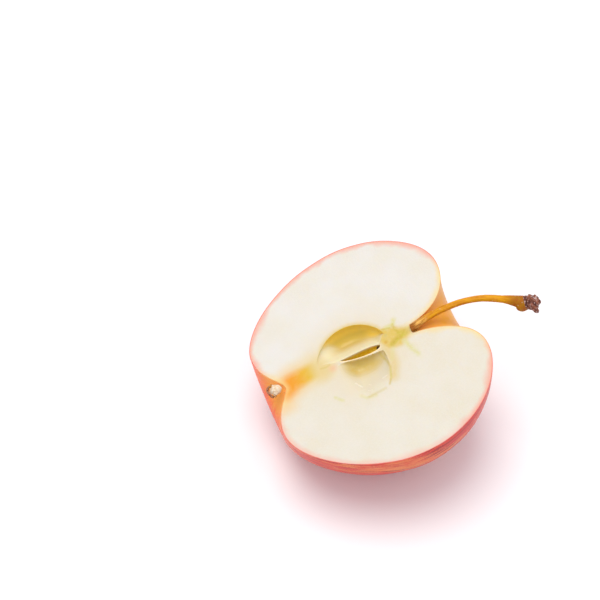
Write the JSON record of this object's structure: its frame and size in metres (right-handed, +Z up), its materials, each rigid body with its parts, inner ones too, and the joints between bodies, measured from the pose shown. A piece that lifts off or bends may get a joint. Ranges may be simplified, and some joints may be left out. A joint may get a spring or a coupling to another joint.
{
  "type": "apple half",
  "caption": "Half of a red striped apple, cut through the core with the stem left on, resting on its round back with the cut face up.",
  "frame": {"origin": "centre of the small flat spot under the rounded back, which stands on the floor", "axes": "+X from the calyx end to the stem end, seen from above, with the stem end of the cut face raised 12.3 degrees; -Y towards the near lobe; +Z up, out of the cut face"},
  "size_m": [0.0811, 0.0707, 0.0506],
  "materials": {
    "flesh": "moist cream-white fruit flesh",
    "skin": "waxy red striped apple skin",
    "stem": "yellow-brown woody stalk",
    "calyx": "dry pale brown flower remains"
  },
  "bodies": {
    "root": {"apple_half": "flesh", "stem": "stem", "calyx": "calyx"}
  },
  "joints": []
}
